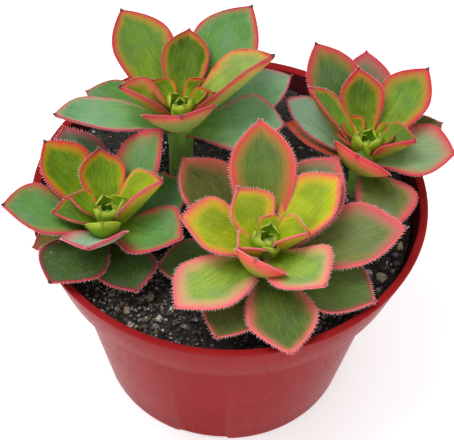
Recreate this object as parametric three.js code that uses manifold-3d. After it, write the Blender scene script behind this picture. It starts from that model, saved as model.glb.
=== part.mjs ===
// A potted tree aeonium: four rosettes on short stems, in a plastic nursery pot of gritty soil.
// Millimetres, +Z up. The origin is the middle of the pot's foot, and -Y is the side shown in the photo.
import * as THREE from "three";
import Module from "manifold-3d";

const wasm = await Module();
wasm.setup();

const DEGREE = Math.PI / 180;
const GAP = 0.3; // clearance between neighbouring pieces

// ---- Driving dimensions ------------------------------------------------------------------------

const POT = {
  rimRadius: 76,
  height: 97,
  bandHeight: 21.7, // the wide collar under the rim
  bandFootRadius: 70,
  wallTopRadius: 65,
  footRadius: 52,
  wall: 1.6,
  lip: 3.2, // width of the rim's flat top
  lipFall: 0.8, // how much lower its inner edge is
  rimRound: 0.6,
  floorUnder: 2.5, // the floor stands this high off the table, on a foot ring
  floor: 2,
  footRing: 3,
  sides: 54,
};
const NOTCH = { count: 4, firstAzimuth: 262, width: 20, height: 1.8 };
const DRAIN = { count: 5, radius: 4.5, circle: 36, firstAzimuth: 90, sides: 20 };

const SOIL = {
  top: 88,
  rings: 7,
  sides: 32,
  bump: 1.1, // height of the crumbs
};

const STEM = {
  depth: 60, // height of the stem's cut end, down in the soil
  radius: 4.6,
  neck: 5, // radius under the leaves
  neckBelow: 15, // how far below the crown the lowest leaves start
  turn: 4, // keeps its corners off the leaves' own directions
  sides: 16,
};

const LEAF = {
  foot: 2.5, // how far from the stem's axis a leaf starts
  footShare: 0.3, // width at the foot, as a share of the widest
  widest: 0.65, // where along the leaf it is widest
  tipPower: 1.9, // larger is a blunter tip
  thickAtFoot: 3.2,
  thickAtTip: 1.3,
  edge: 0.7, // thickness at the margin
  longBlade: 32, // leaves from this length up get the finer of the two grids
  fine: { rows: 5, columns: 4 },
  plain: { rows: 4, columns: 2 },
};
const BUD = {
  leaves: 5,
  turn: 137.5,
  length: 6,
  width: 5,
  grow: 0.16,
  rise: 80,
  fall: 5,
  drop: 2.7,
  fold: 0,
  curl: 25,
};

// One plant for each rosette, at its crown: the point that its leaves start from.
// Each leaf: azimuth (0 is right, 270 is towards the viewer), rise above level, length, width,
// how far below the crown it starts, roll about its own axis, fold: how steeply its two halves rise
// from the midrib, over its cup, and curl: how many degrees further it bends up along its length.
const PLANTS = {
  front_plant: {
    crown: [14, -33, 107],
    bud: 20,
    leaves: [
      [97, 46, 48, 24, 8, 0, 0, 0],
      [136, 23, 46, 25, 9, 0, 0, 0],
      [177, 26.5, 33, 25, 6, 0, 0, 0],
      [227, 14, 45, 25, 8, 0, 0, 0],
      [246, 12, 40, 23, 14, 0, 0, 0],
      [281, 10, 44, 25, 12, 0, 0, 0],
      [308, 25, 34, 25, 6, 8, 0, 0],
      [333, 12, 42, 27, 14, 0, 0, 0],
      [4, 20, 50, 27, 10, 6, 0, 0],
      [34, 38, 37, 23, 6, 0, 0, 0],
      [50, 36, 45, 27, 12, 0, 0, 0],
      [128, 44, 23, 19, 4, 0, 0.15, 0],
      [66, 51, 11, 11.5, 2.5, 0, 0, 0],
      [345, 45, 19, 13, 3, 0, 0.6, 0],
      [225, 40, 17, 12, 3, 0, 0.3, 0],
      [258, 12, 29, 20, 6, -16, 0, 70],
      [188, 9, 38, 23, 14, 0, 0, 0],
      [64, 6, 38, 22, 14, 0, 0, 0],
      [295, 50, 8, 8, 2.6, 0, 0.2, 0],
    ],
  },
  left_plant: {
    crown: [-44.3, -21.5, 106],
    bud: 60,
    leaves: [
      [102, 40, 25, 17, 4, 0, 0.15, 0],
      [139, 31, 37, 21, 6, 0, 0, 0],
      [120, 30, 43, 23, 12, 0, 0, 0],
      [48.5, 51, 41.5, 23.5, 8.5, -16, 0, 0],
      [358, 52, 31, 15, 5, 0, 0.6, 0],
      [328, 27, 35, 24, 8, 8, 0, 0],
      [30, 25, 33, 22, 12, 0, 0, 0],
      [263, 41, 36, 23, 8.5, 14, 0, 0],
      [189, 25, 39, 23, 8, 0, 0, 0],
      [241, 17, 35, 25, 12, 0, 0, 0],
      [293, 14, 32, 22, 13, 0, 0, 0],
      [205, 17, 28, 17, 13.5, 0, 0, 0],
      [192, 26, 20, 13, 5, 0, 0.3, 0],
      [171, 35, 15, 10, 3, 0, 0.3, 0],
      [92, 10, 34, 20, 13, 0, 0, 0],
      [268, 20, 20, 13, 5.5, 10, 0.1, 68],
      [20, 62, 10, 8, 2.5, 0, 0.3, 0],
    ],
  },
  back_plant: {
    crown: [-19.5, 14, 126],
    bud: 100,
    leaves: [
      [129, 37, 46, 25, 7, 0, 0, 0],
      [87, 36.5, 32, 18, 4.4, 0, 0.1, 0],
      [51, 40, 50, 28, 8, 0, 0, 0],
      [0, 47, 47, 17, 7, 0, 0.6, 0],
      [26, 16, 46, 23, 12.5, 0, 0, 0],
      [350, 17, 39, 26, 11, 12, 0, 0],
      [191, 42, 28, 12, 5, 0, 0.6, 0],
      [194, 17.5, 47, 22, 8.5, 12, 0, 0],
      [165, 16, 37, 22, 12, 0, 0, 0],
      [98, 26, 38, 22, 14, 0, 0, 0],
      [274, 30, 33, 27, 5, 9, 0.05, 33],
      [145, 37, 15, 11, 3, 0, 0.25, 0],
      [45, 36, 15, 11, 3, 0, 0.25, 0],
      [10, 42, 15, 10, 4, 0, 0.4, 0],
      [70, 16, 38, 22, 13, 0, 0, 0],
    ],
  },
  right_plant: {
    crown: [50.6, 10.2, 115],
    bud: 140,
    leaves: [
      [122, 38, 46, 23, 8, 0, 0, 0],
      [99, 41, 30, 17, 4, 0, 0.1, 0],
      [89, 34, 43, 22, 11, 0, 0, 0],
      [46, 35, 39, 21, 6, 0, 0, 0],
      [18, 33, 33, 20, 13.5, 8, 0, 0],
      [350, 18, 33, 26, 8, 4, 0, 0],
      [340, 42, 22, 14, 6, 0, 0.6, 0],
      [255, 16, 30, 24, 6.5, -20, 0, 62],
      [162, 48, 34.5, 11, 6, 0, 0.5, 0],
      [152, 25, 36, 18, 9, 0, 0, 0],
      [160, 19, 32, 17, 11.5, 20, 0, 0],
      [290, 12, 34, 23, 13, 0, 0, 0],
      [132, 34, 13, 10, 3, 0, 0.3, 0],
      [15, 34, 13, 10, 3, 0, 0.3, 0],
      [158, 28, 13, 10, 4, 0, 0.4, 0],
      [66, 18, 34, 20, 13, 0, 0, 0],
    ],
  },
};

// Larger grains of perlite and gravel, seated in the soil: azimuth, distance from the axis, size.
const GRAINS = [
  [330, 66, 5.5],
  [322, 60, 4],
  [236, 63, 4.5],
  [226, 56, 4],
  [247, 60, 4],
  [214, 60, 5],
  [300, 66, 4.5],
  [60, 58, 5],
  [110, 62, 4.5],
  [345, 60, 4],
];

const SLIVER = 0.05; // slimmer faces than this, left where leaves cross, are merged away
const PIT_SHARE = 1.26; // an icosahedron's corner radius over the radius of the ball inside it

// ---- Meshes and solids -------------------------------------------------------------------------

// A closed surface of three.js geometry as a solid, its doubled vertices joined by position.
function solidOf(geometry, matrix = new THREE.Matrix4()) {
  const source = geometry.index ? geometry.toNonIndexed() : geometry;
  const place = source.getAttribute("position").clone().applyMatrix4(matrix);
  const seen = new Map();
  const points = [];
  const corners = [];
  for (let i = 0; i < place.count; i += 1) {
    const point = [place.getX(i), place.getY(i), place.getZ(i)];
    const key = point.map((value) => Math.round(value * 1e4)).join(" ");
    if (!seen.has(key)) {
      seen.set(key, seen.size);
      points.push(...point);
    }
    corners.push(seen.get(key));
  }
  const faces = [];
  for (let i = 0; i < corners.length; i += 3) {
    const [a, b, c] = corners.slice(i, i + 3);
    if (a !== b && b !== c && c !== a) faces.push(a, b, c);
  }
  return solidFrom(points, faces);
}

function solidFrom(points, faces) {
  const mesh = new wasm.Mesh({
    numProp: 3,
    vertProperties: new Float32Array(points),
    triVerts: new Uint32Array(faces),
  });
  return new wasm.Manifold(mesh);
}

function geometryOf(solid) {
  const mesh = solid.getMesh();
  const geometry = new THREE.BufferGeometry();
  geometry.setAttribute("position", new THREE.BufferAttribute(mesh.vertProperties, 3));
  geometry.setIndex(new THREE.BufferAttribute(mesh.triVerts, 1));
  geometry.computeVertexNormals();
  return geometry;
}

// A profile of [radius, height] turned about the Z axis.
function turned(profile, sides) {
  const points = profile.map(([radius, height]) => new THREE.Vector2(radius, height));
  return new THREE.LatheGeometry(points, sides).rotateX(90 * DEGREE);
}

function meshOf(name, solid, material) {
  const mesh = new THREE.Mesh(geometryOf(solid), material);
  mesh.name = name;
  return mesh;
}

// ---- Pot ---------------------------------------------------------------------------------------

const bandBottom = POT.height - POT.bandHeight;

// Radius of the wall's inner face at a height inside the collar.
function insideBand(height) {
  const low = POT.bandFootRadius - POT.wall;
  const high = POT.rimRadius - POT.lip;
  const share = (height - bandBottom) / POT.bandHeight;
  return low + (high - low) * share;
}

function potSolid() {
  const { rimRadius, height, wall, lip, lipFall, rimRound, footRadius, wallTopRadius } = POT;
  const floorTop = POT.floorUnder + POT.floor;
  const ringInside = footRadius - POT.footRing;
  const profile = [
    [0, POT.floorUnder],
    [ringInside, POT.floorUnder],
    [ringInside, 0],
    [footRadius, 0],
    [wallTopRadius, bandBottom],
    [POT.bandFootRadius, bandBottom],
    [rimRadius, height - rimRound],
    [rimRadius - rimRound, height],
    [rimRadius - lip, height - lipFall],
    [insideBand(bandBottom + wall), bandBottom + wall],
    [wallTopRadius - wall, bandBottom],
    [footRadius - wall, floorTop],
    [0, floorTop],
  ];
  let solid = solidOf(turned(profile, POT.sides));
  for (let i = 0; i < NOTCH.count; i += 1) {
    const notch = new THREE.BoxGeometry(POT.footRing * 4, NOTCH.width, NOTCH.height * 2);
    const place = new THREE.Matrix4()
      .makeRotationZ((NOTCH.firstAzimuth + (i * 360) / NOTCH.count) * DEGREE)
      .multiply(new THREE.Matrix4().makeTranslation(footRadius, 0, 0));
    solid = solid.subtract(solidOf(notch, place));
  }
  for (let i = 0; i < DRAIN.count; i += 1) {
    const azimuth = (DRAIN.firstAzimuth + (i * 360) / DRAIN.count) * DEGREE;
    const hole = uprightCylinder(DRAIN.radius, 0, floorTop + 1, DRAIN.sides);
    const x = DRAIN.circle * Math.cos(azimuth);
    const y = DRAIN.circle * Math.sin(azimuth);
    solid = solid.subtract(solidOf(hole, new THREE.Matrix4().makeTranslation(x, y, 0)));
  }
  return solid;
}

function uprightCylinder(radius, bottom, top, sides) {
  const height = top - bottom;
  return new THREE.CylinderGeometry(radius, radius, height, sides)
    .rotateX(90 * DEGREE)
    .translate(0, 0, bottom + height / 2);
}

// ---- Soil and grains ---------------------------------------------------------------------------

// Height of the soil's crumbly top: a few crossing waves.
function soilHeight(x, y) {
  const coarse = Math.sin(x * 0.23 + 1.3) * Math.cos(y * 0.19 - 0.4);
  const fine = Math.sin(x * 0.71 - y * 0.53) * Math.cos(y * 0.83 + x * 0.31);
  return SOIL.top + SOIL.bump * (0.6 * coarse + 0.7 * fine);
}

function soilSolid(stems, grains) {
  const floorTop = POT.floorUnder + POT.floor;
  const edge = insideBand(SOIL.top) - 2 * GAP;
  const rings = [
    [POT.footRadius - POT.wall - GAP, floorTop + GAP],
    [POT.wallTopRadius - POT.wall - GAP, bandBottom + GAP],
    [insideBand(bandBottom + POT.wall) - GAP, bandBottom + POT.wall + GAP],
  ];
  for (let i = 0; i < SOIL.rings; i += 1) {
    rings.push([edge * (1 - i / SOIL.rings), null]);
  }
  const points = [0, 0, floorTop + GAP];
  rings.forEach(([radius, height], ring) => {
    for (let side = 0; side < SOIL.sides; side += 1) {
      const angle = ((side + (ring % 2) / 2) / SOIL.sides) * 2 * Math.PI;
      const x = radius * Math.cos(angle);
      const y = radius * Math.sin(angle);
      points.push(x, y, height ?? soilHeight(x, y));
    }
  });
  points.push(0, 0, soilHeight(0, 0));
  const at = (ring, side) => 1 + ring * SOIL.sides + (side % SOIL.sides);
  const last = rings.length - 1;
  const topPoint = at(last, 0) + SOIL.sides;
  const faces = [];
  for (let side = 0; side < SOIL.sides; side += 1) {
    faces.push(0, at(0, side + 1), at(0, side));
    faces.push(topPoint, at(last, side), at(last, side + 1));
    for (let ring = 0; ring < last; ring += 1) {
      const shift = ring % 2;
      const low = [at(ring, side), at(ring, side + 1)];
      const high = [at(ring + 1, side), at(ring + 1, side + 1)];
      if (shift) faces.push(low[0], low[1], high[1], low[0], high[1], high[0]);
      else faces.push(low[0], low[1], high[0], low[1], high[1], high[0]);
    }
  }
  let solid = solidFrom(points, faces);
  for (const [x, y] of stems) {
    const hole = uprightCylinder(STEM.radius + GAP, STEM.depth - GAP, SOIL.top + 9, 20);
    solid = solid.subtract(solidOf(hole, new THREE.Matrix4().makeTranslation(x, y, 0)));
  }
  for (const grain of grains) {
    solid = solid.subtract(grainPit(grain));
  }
  return solid;
}

// A pebble's place: turned by its azimuth, and sunk a little over a third into the soil.
function grainPlace([azimuth, distance, size], radius) {
  const x = distance * Math.cos(azimuth * DEGREE);
  const y = distance * Math.sin(azimuth * DEGREE);
  return new THREE.Matrix4()
    .makeTranslation(x, y, soilHeight(x, y) + size * 0.12)
    .multiply(new THREE.Matrix4().makeRotationZ(azimuth * 3 * DEGREE))
    .multiply(new THREE.Matrix4().makeScale(radius, radius * 0.82, radius * 0.7));
}

function grainSolid(grain) {
  return solidOf(new THREE.IcosahedronGeometry(1, 1), grainPlace(grain, grain[2] / 2));
}

// The pit is a plainer, larger pebble, so that the round one clears its flat sides.
function grainPit(grain) {
  const radius = (grain[2] / 2) * PIT_SHARE + GAP;
  return solidOf(new THREE.IcosahedronGeometry(1, 0), grainPlace(grain, radius));
}

// ---- Plants ------------------------------------------------------------------------------------

// Half width at a share of the leaf's length, as a share of its widest.
function outline(share) {
  if (share < LEAF.widest) {
    const swell = Math.sin((share / LEAF.widest) * 90 * DEGREE) ** 1.5;
    return LEAF.footShare + (1 - LEAF.footShare) * swell;
  }
  return 1 - ((share - LEAF.widest) / (1 - LEAF.widest)) ** LEAF.tipPower;
}

// One fleshy leaf in the crown's frame: a cupped or folded blade along an arc, thick in the middle.
function leafSolid([azimuth, rise, length, width, drop, roll, fold, curl]) {
  const young = Math.max(0, 1 - drop / 14);
  const bend = (14 * young - 4 + curl) * DEGREE || 1e-6; // young leaves curl up, old ones sag
  const cup = 0.15 + 0.32 * young;
  const away = new THREE.Vector3(Math.cos(azimuth * DEGREE), Math.sin(azimuth * DEGREE), 0);
  const side = new THREE.Vector3(-away.y, away.x, 0);
  const up = new THREE.Vector3(0, 0, 1);
  const start = rise * DEGREE;
  const { rows, columns } = length < LEAF.longBlade ? LEAF.plain : LEAF.fine;
  const points = [];
  for (let i = 0; i <= rows; i += 1) {
    const share = 1 - (1 - i / rows) ** 1.25;
    const slope = start + bend * share;
    const turn = roll * DEGREE * Math.sin(share * 90 * DEGREE);
    const out = LEAF.foot + (length / bend) * (Math.sin(slope) - Math.sin(start));
    const high = (-length / bend) * (Math.cos(slope) - Math.cos(start)) - drop;
    const half = Math.max((width / 2) * outline(share), LEAF.edge / 2);
    const face = up.clone().multiplyScalar(Math.cos(slope)).addScaledVector(away, -Math.sin(slope));
    const across = side.clone().multiplyScalar(Math.cos(turn)).addScaledVector(face, Math.sin(turn));
    const normal = face.clone().multiplyScalar(Math.cos(turn)).addScaledVector(side, -Math.sin(turn));
    const middle = away.clone().multiplyScalar(out).addScaledVector(up, high);
    const thick = LEAF.thickAtFoot + (LEAF.thickAtTip - LEAF.thickAtFoot) * share;
    const place = (v, depth) =>
      middle
        .clone()
        .addScaledVector(across, half * v)
        .addScaledVector(normal, half * (cup * v * v + fold * Math.abs(v)) - depth);
    for (let j = 0; j <= columns; j += 1) {
      points.push(...place((2 * j) / columns - 1, 0).toArray());
    }
    points.push(...place(1, LEAF.edge).toArray());
    points.push(...place(0, thick).toArray());
    points.push(...place(-1, LEAF.edge).toArray());
  }
  return solidFrom(points, tubeFaces(rows + 1, columns + 4));
}

// Faces of a closed skin over rings of points: bands between the rings, and a fan at each end.
function tubeFaces(rings, size) {
  const faces = [];
  const at = (ring, i) => ring * size + (i % size);
  for (let ring = 0; ring < rings - 1; ring += 1) {
    for (let i = 0; i < size; i += 1) {
      faces.push(at(ring, i), at(ring + 1, i + 1), at(ring, i + 1));
      faces.push(at(ring, i), at(ring + 1, i), at(ring + 1, i + 1));
    }
  }
  for (let i = 1; i < size - 1; i += 1) {
    faces.push(at(0, 0), at(0, i), at(0, i + 1));
    faces.push(at(rings - 1, 0), at(rings - 1, i + 1), at(rings - 1, i));
  }
  return faces;
}

// The tight bud: small leaves, each turned on from the last.
function budLeaves(firstAzimuth) {
  return Array.from({ length: BUD.leaves }, (_, i) => [
    firstAzimuth + i * BUD.turn,
    BUD.rise - i * BUD.fall,
    BUD.length * (1 + i * BUD.grow),
    BUD.width * (1 + i * BUD.grow),
    BUD.drop,
    0,
    BUD.fold,
    BUD.curl,
  ]);
}

function stemSolid(crownHeight) {
  const foot = STEM.depth - crownHeight;
  const profile = [
    [0, foot],
    [STEM.radius - 0.8, foot],
    [STEM.radius, foot + 1.2],
    [STEM.radius, -STEM.neckBelow - 4],
    [STEM.neck, -STEM.neckBelow + 1],
    [STEM.neck * 0.88, -STEM.neckBelow * 0.42],
    [STEM.neck * 0.63, -1.7],
    [0, 0.9],
  ];
  return solidOf(turned(profile, STEM.sides).rotateZ(STEM.turn * DEGREE));
}

function plantSolid({ crown, bud, leaves }) {
  const all = [...leaves, ...budLeaves(bud)].map(leafSolid);
  const whole = wasm.Manifold.union([stemSolid(crown[2]), ...all]);
  return withoutCavities(whole.simplify(SLIVER));
}

// The outer skin alone: leaf feet that cross can close a small space between them.
function withoutCavities(solid) {
  const skins = solid.decompose();
  return skins.reduce((best, skin) => (skin.volume() > best.volume() ? skin : best));
}

// ---- Assembly ----------------------------------------------------------------------------------

const materials = {
  pot: new THREE.MeshStandardMaterial({ color: 0xa4262c, roughness: 0.45, metalness: 0 }),
  soil: new THREE.MeshStandardMaterial({ color: 0x26221f, roughness: 0.95, metalness: 0 }),
  grain: new THREE.MeshStandardMaterial({ color: 0xd8d2c4, roughness: 0.9, metalness: 0 }),
  plant: new THREE.MeshStandardMaterial({ color: 0x7f9a45, roughness: 0.5, metalness: 0 }),
};

const aeonium = new THREE.Group();
aeonium.add(meshOf("pot", potSolid(), materials.pot));

const plants = new THREE.Group();
for (const [name, plant] of Object.entries(PLANTS)) {
  const mesh = meshOf(name, plantSolid(plant), materials.plant);
  mesh.position.set(...plant.crown);
  plants.add(mesh);
}
aeonium.add(plants);

const stems = Object.values(PLANTS).map((plant) => plant.crown);
aeonium.add(meshOf("soil", soilSolid(stems, GRAINS), materials.soil));

const grains = new THREE.Group();
GRAINS.forEach((grain, i) => {
  const name = "grain_" + String(i + 1).padStart(2, "0");
  grains.add(meshOf(name, grainSolid(grain), materials.grain));
});
aeonium.add(grains);

export default aeonium;
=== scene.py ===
# A potted tree aeonium: four rosettes with fringed, red-edged leaves, in a red nursery pot of gritty soil.
# Sizes are in millimetres, turned to metres by MM. +Z is up, and -Y is the side that the photograph shows.
from collections import namedtuple
from math import cos, exp, hypot, pi, radians, sin, sqrt
from types import SimpleNamespace as Values

import bmesh
import bpy
import numpy as np
from mathutils import Matrix, Vector, noise


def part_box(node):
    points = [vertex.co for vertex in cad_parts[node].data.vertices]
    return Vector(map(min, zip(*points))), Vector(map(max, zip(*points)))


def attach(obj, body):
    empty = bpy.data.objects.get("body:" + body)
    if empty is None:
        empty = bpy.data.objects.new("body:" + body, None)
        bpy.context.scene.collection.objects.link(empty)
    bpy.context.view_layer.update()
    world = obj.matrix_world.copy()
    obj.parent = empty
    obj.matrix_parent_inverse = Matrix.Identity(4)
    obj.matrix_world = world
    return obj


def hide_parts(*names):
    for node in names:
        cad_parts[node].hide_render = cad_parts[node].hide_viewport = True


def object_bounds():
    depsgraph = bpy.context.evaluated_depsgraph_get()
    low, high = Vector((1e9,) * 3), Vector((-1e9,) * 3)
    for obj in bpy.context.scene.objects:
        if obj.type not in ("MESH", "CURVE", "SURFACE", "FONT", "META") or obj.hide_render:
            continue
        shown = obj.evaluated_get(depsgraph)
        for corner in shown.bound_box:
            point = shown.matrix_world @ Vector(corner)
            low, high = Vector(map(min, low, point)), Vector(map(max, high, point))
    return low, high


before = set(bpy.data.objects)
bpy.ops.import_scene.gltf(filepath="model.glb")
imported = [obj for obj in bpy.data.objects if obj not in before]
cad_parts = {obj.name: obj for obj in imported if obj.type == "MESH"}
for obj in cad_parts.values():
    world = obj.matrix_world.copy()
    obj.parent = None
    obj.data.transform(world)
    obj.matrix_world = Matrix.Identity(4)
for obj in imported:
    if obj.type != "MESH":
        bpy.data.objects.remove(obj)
cad_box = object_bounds()

MM = 0.001
scene = bpy.context.scene
BOX_LOW, BOX_HIGH = (np.array(corner) / MM for corner in cad_box)

# ---- Sizes repeated from the part ----

POT = Values(
    rim_radius=76, height=97, band_height=21.7, band_foot_radius=70, wall_top_radius=65, foot_radius=52,
    wall=1.6, lip=3.2, lip_fall=0.8, rim_round=0.6, floor_under=2.5, floor=2, foot_ring=3,
)
BAND_BOTTOM = POT.height - POT.band_height
FLOOR_TOP = POT.floor_under + POT.floor
NOTCH = Values(count=4, first_azimuth=262, width=20, height=1.8)
DRAIN = Values(count=5, radius=4.5, circle=36, first_azimuth=90)
SOIL = Values(top=88, bump=1.1, gap=0.3)
STEM = Values(depth=60, radius=4.6, neck=5, neck_below=15)
LEAF = Values(
    foot=2.5, foot_share=0.3, widest=0.65, tip_power=1.9, thick_at_foot=3.2, thick_at_tip=1.3, edge=0.7,
    oldest_drop=14, sag=4, young_bend=14, cup=0.15, young_cup=0.32,
)
BUD = Values(leaves=5, turn=137.5, length=6, width=5, grow=0.16, rise=80, fall=5,
             drop=2.7, curl=25, rim=0.5)
GRAINS = 10  # nodes of larger grains

# Each leaf: azimuth (0 is right, 270 is towards the viewer), rise, length, width and how far below the
# crown it starts, as in the part, then its tone and the width of the red margin on its upper side. By
# name: the share by which that margin is wider on the anticlockwise side (lean) and at the tip (tip), the
# roll, fold and curl, as in the part, and marks, which are a dry point or flecks.
Leaf = namedtuple("Leaf", "azimuth rise length width drop tone rim lean tip roll fold curl marks",
                  defaults=(0, 0, 0, 0, 0, ""))

PLANTS = {}
PLANTS["front_plant"] = Values(crown=(14, -33, 107), bud=20, fringe=1.15, leaves=[
    Leaf(97, 46, 48, 24, 8, "moss", 3.6, tip=-0.1),
    Leaf(136, 23, 46, 25, 9, "olive", 3, lean=-0.4),
    Leaf(177, 26.5, 33, 25, 6, "lime", 3.1, lean=0.35, tip=0.6, marks="flecks"),
    Leaf(227, 14, 45, 25, 8, "apple", 3.7, lean=0.3, tip=0.4, marks="flecks"),
    Leaf(246, 12, 40, 23, 14, "umber", 1.2),
    Leaf(281, 10, 44, 25, 12, "moss2", 3, lean=-0.1, tip=-0.4),
    Leaf(308, 25, 34, 25, 6, "apple", 3.4, lean=-0.3, tip=0.3, roll=8),
    Leaf(333, 12, 42, 27, 14, "shade", 1.6, lean=-0.3),
    Leaf(4, 20, 50, 27, 10, "dusk", 3, lean=0.1, tip=0.3, roll=6),
    Leaf(34, 38, 37, 23, 6, "lime", 2.6, tip=0.1),
    Leaf(50, 36, 45, 27, 12, "dusk", 3.2, lean=-0.5),
    Leaf(128, 44, 23, 19, 4, "lime", 2.1, fold=0.15),
    Leaf(66, 51, 11, 11.5, 2.5, "lime", 0.8),
    Leaf(345, 45, 19, 13, 3, "lime", 0.8, fold=0.6),
    Leaf(225, 40, 17, 12, 3, "lime", 1.2, fold=0.3),
    Leaf(258, 12, 29, 20, 6, "coral", 3.2, tip=0.3, roll=-16, curl=70),
    Leaf(188, 9, 38, 23, 14, "shade", 1.2),
    Leaf(64, 6, 38, 22, 14, "shade", 1.4),
    Leaf(295, 50, 8, 8, 2.6, "bud", 0.5, fold=0.2),
])
PLANTS["left_plant"] = Values(crown=(-44.3, -21.5, 106), bud=60, fringe=0.95, leaves=[
    Leaf(102, 40, 25, 17, 4, "spring", 1.8, tip=0.1, fold=0.15),
    Leaf(139, 31, 37, 21, 6, "spring", 2.6, lean=-0.2, tip=-0.1, marks="dry"),
    Leaf(120, 30, 43, 23, 12, "teal", 2.2),
    Leaf(48.5, 51, 41.5, 23.5, 8.5, "sage", 4.2, lean=-0.25, tip=-0.3, roll=-16),
    Leaf(358, 52, 31, 15, 5, "lime", 0.9, lean=-0.2, tip=0.5, fold=0.6),
    Leaf(328, 27, 35, 24, 8, "sage", 2.8, lean=-0.4, roll=8),
    Leaf(30, 25, 33, 22, 12, "sage", 0.8),
    Leaf(263, 41, 36, 23, 8.5, "mist", 3.4, tip=-0.2, roll=14),
    Leaf(189, 25, 39, 23, 8, "sage", 2.8, lean=0.2, tip=-0.5, marks="dry"),
    Leaf(241, 17, 35, 25, 12, "dark", 1.4, marks="dry flecks"),
    Leaf(293, 14, 32, 22, 13, "dark", 1.4),
    Leaf(205, 17, 28, 17, 13.5, "straw", 1.6),
    Leaf(192, 26, 20, 13, 5, "meadow", 1.0, fold=0.3),
    Leaf(171, 35, 15, 10, 3, "spring", 0.8, fold=0.3),
    Leaf(92, 10, 34, 20, 13, "shade", 1.2),
    Leaf(268, 20, 20, 13, 5.5, "bud", 0.7, roll=10, fold=0.1, curl=68),
    Leaf(20, 62, 10, 8, 2.5, "bud", 0.5, fold=0.3),
])
PLANTS["back_plant"] = Values(crown=(-19.5, 14, 126), bud=100, fringe=0.45, leaves=[
    Leaf(129, 37, 46, 25, 7, "meadow", 2.8, lean=0.15, tip=-0.3, marks="dry"),
    Leaf(87, 36.5, 32, 18, 4.4, "leek", 1.6, fold=0.1),
    Leaf(51, 40, 50, 28, 8, "sage", 2.6, lean=-0.4, tip=-0.3, marks="dry"),
    Leaf(0, 47, 47, 17, 7, "mint", 2.2, lean=-0.5, fold=0.6, marks="dry"),
    Leaf(26, 16, 46, 23, 12.5, "frost", 1.0),
    Leaf(350, 17, 39, 26, 11, "frost", 1.6, lean=-0.3, tip=-0.2, roll=12),
    Leaf(191, 42, 28, 12, 5, "coral", 1.4, lean=-0.3, fold=0.6, marks="dry"),
    Leaf(194, 17.5, 47, 22, 8.5, "frost", 2.4, lean=0.6, tip=-0.3, roll=12, marks="dry"),
    Leaf(165, 16, 37, 22, 12, "sage", 0.8),
    Leaf(98, 26, 38, 22, 14, "teal", 0.9),
    Leaf(274, 30, 33, 27, 5, "blush", 3.2, tip=-0.6, roll=9, fold=0.05, curl=33),
    Leaf(145, 37, 15, 11, 3, "spring", 0.9, tip=0.2, fold=0.25),
    Leaf(45, 36, 15, 11, 3, "spring", 0.8, tip=0.2, fold=0.25),
    Leaf(10, 42, 15, 10, 4, "spring", 0.8, tip=0.3, fold=0.4),
    Leaf(70, 16, 38, 22, 13, "teal", 1.0),
])
PLANTS["right_plant"] = Values(crown=(50.6, 10.2, 115), bud=140, fringe=0.7, leaves=[
    Leaf(122, 38, 46, 23, 8, "fern", 3.2, lean=0.2, tip=0.2, marks="dry"),
    Leaf(99, 41, 30, 17, 4, "leek", 2.1, tip=0.2, fold=0.1),
    Leaf(89, 34, 43, 22, 11, "plum", 3, lean=-0.2),
    Leaf(46, 35, 39, 21, 6, "meadow", 3.0, lean=-0.2, tip=0.1, marks="dry"),
    Leaf(18, 33, 33, 20, 13.5, "umber", 0.8, roll=8),
    Leaf(350, 18, 33, 26, 8, "silver", 3.4, tip=0.2, roll=4),
    Leaf(340, 42, 22, 14, 6, "meadow", 1.0, lean=-0.3, fold=0.6),
    Leaf(255, 16, 30, 24, 6.5, "coral", 3.6, tip=0.2, roll=-20, curl=62),
    Leaf(162, 48, 34.5, 11, 6, "meadow", 1.2, lean=0.2, fold=0.5),
    Leaf(152, 25, 36, 18, 9, "mist", 1.2),
    Leaf(160, 19, 32, 17, 11.5, "flame", 3.2, tip=0.3, roll=20),
    Leaf(290, 12, 34, 23, 13, "dusk", 2.6, lean=0.1, tip=0.3),
    Leaf(132, 34, 13, 10, 3, "spring", 0.9, tip=0.2, fold=0.3),
    Leaf(15, 34, 13, 10, 3, "spring", 0.9, tip=0.2, fold=0.3),
    Leaf(158, 28, 13, 10, 4, "lime", 1.0, tip=0.2, fold=0.4),
    Leaf(66, 18, 34, 20, 13, "shade", 1.2),
])

# ---- Colours ----


def linear(red, green, blue):
    """An sRGB colour, 0 to 255, as the linear colour with alpha that Blender's sockets take."""
    def channel(value):
        share = value / 255
        return share / 12.92 if share <= 0.04045 else ((share + 0.055) / 1.055) ** 2.4
    return (channel(red), channel(green), channel(blue), 1.0)


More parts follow.
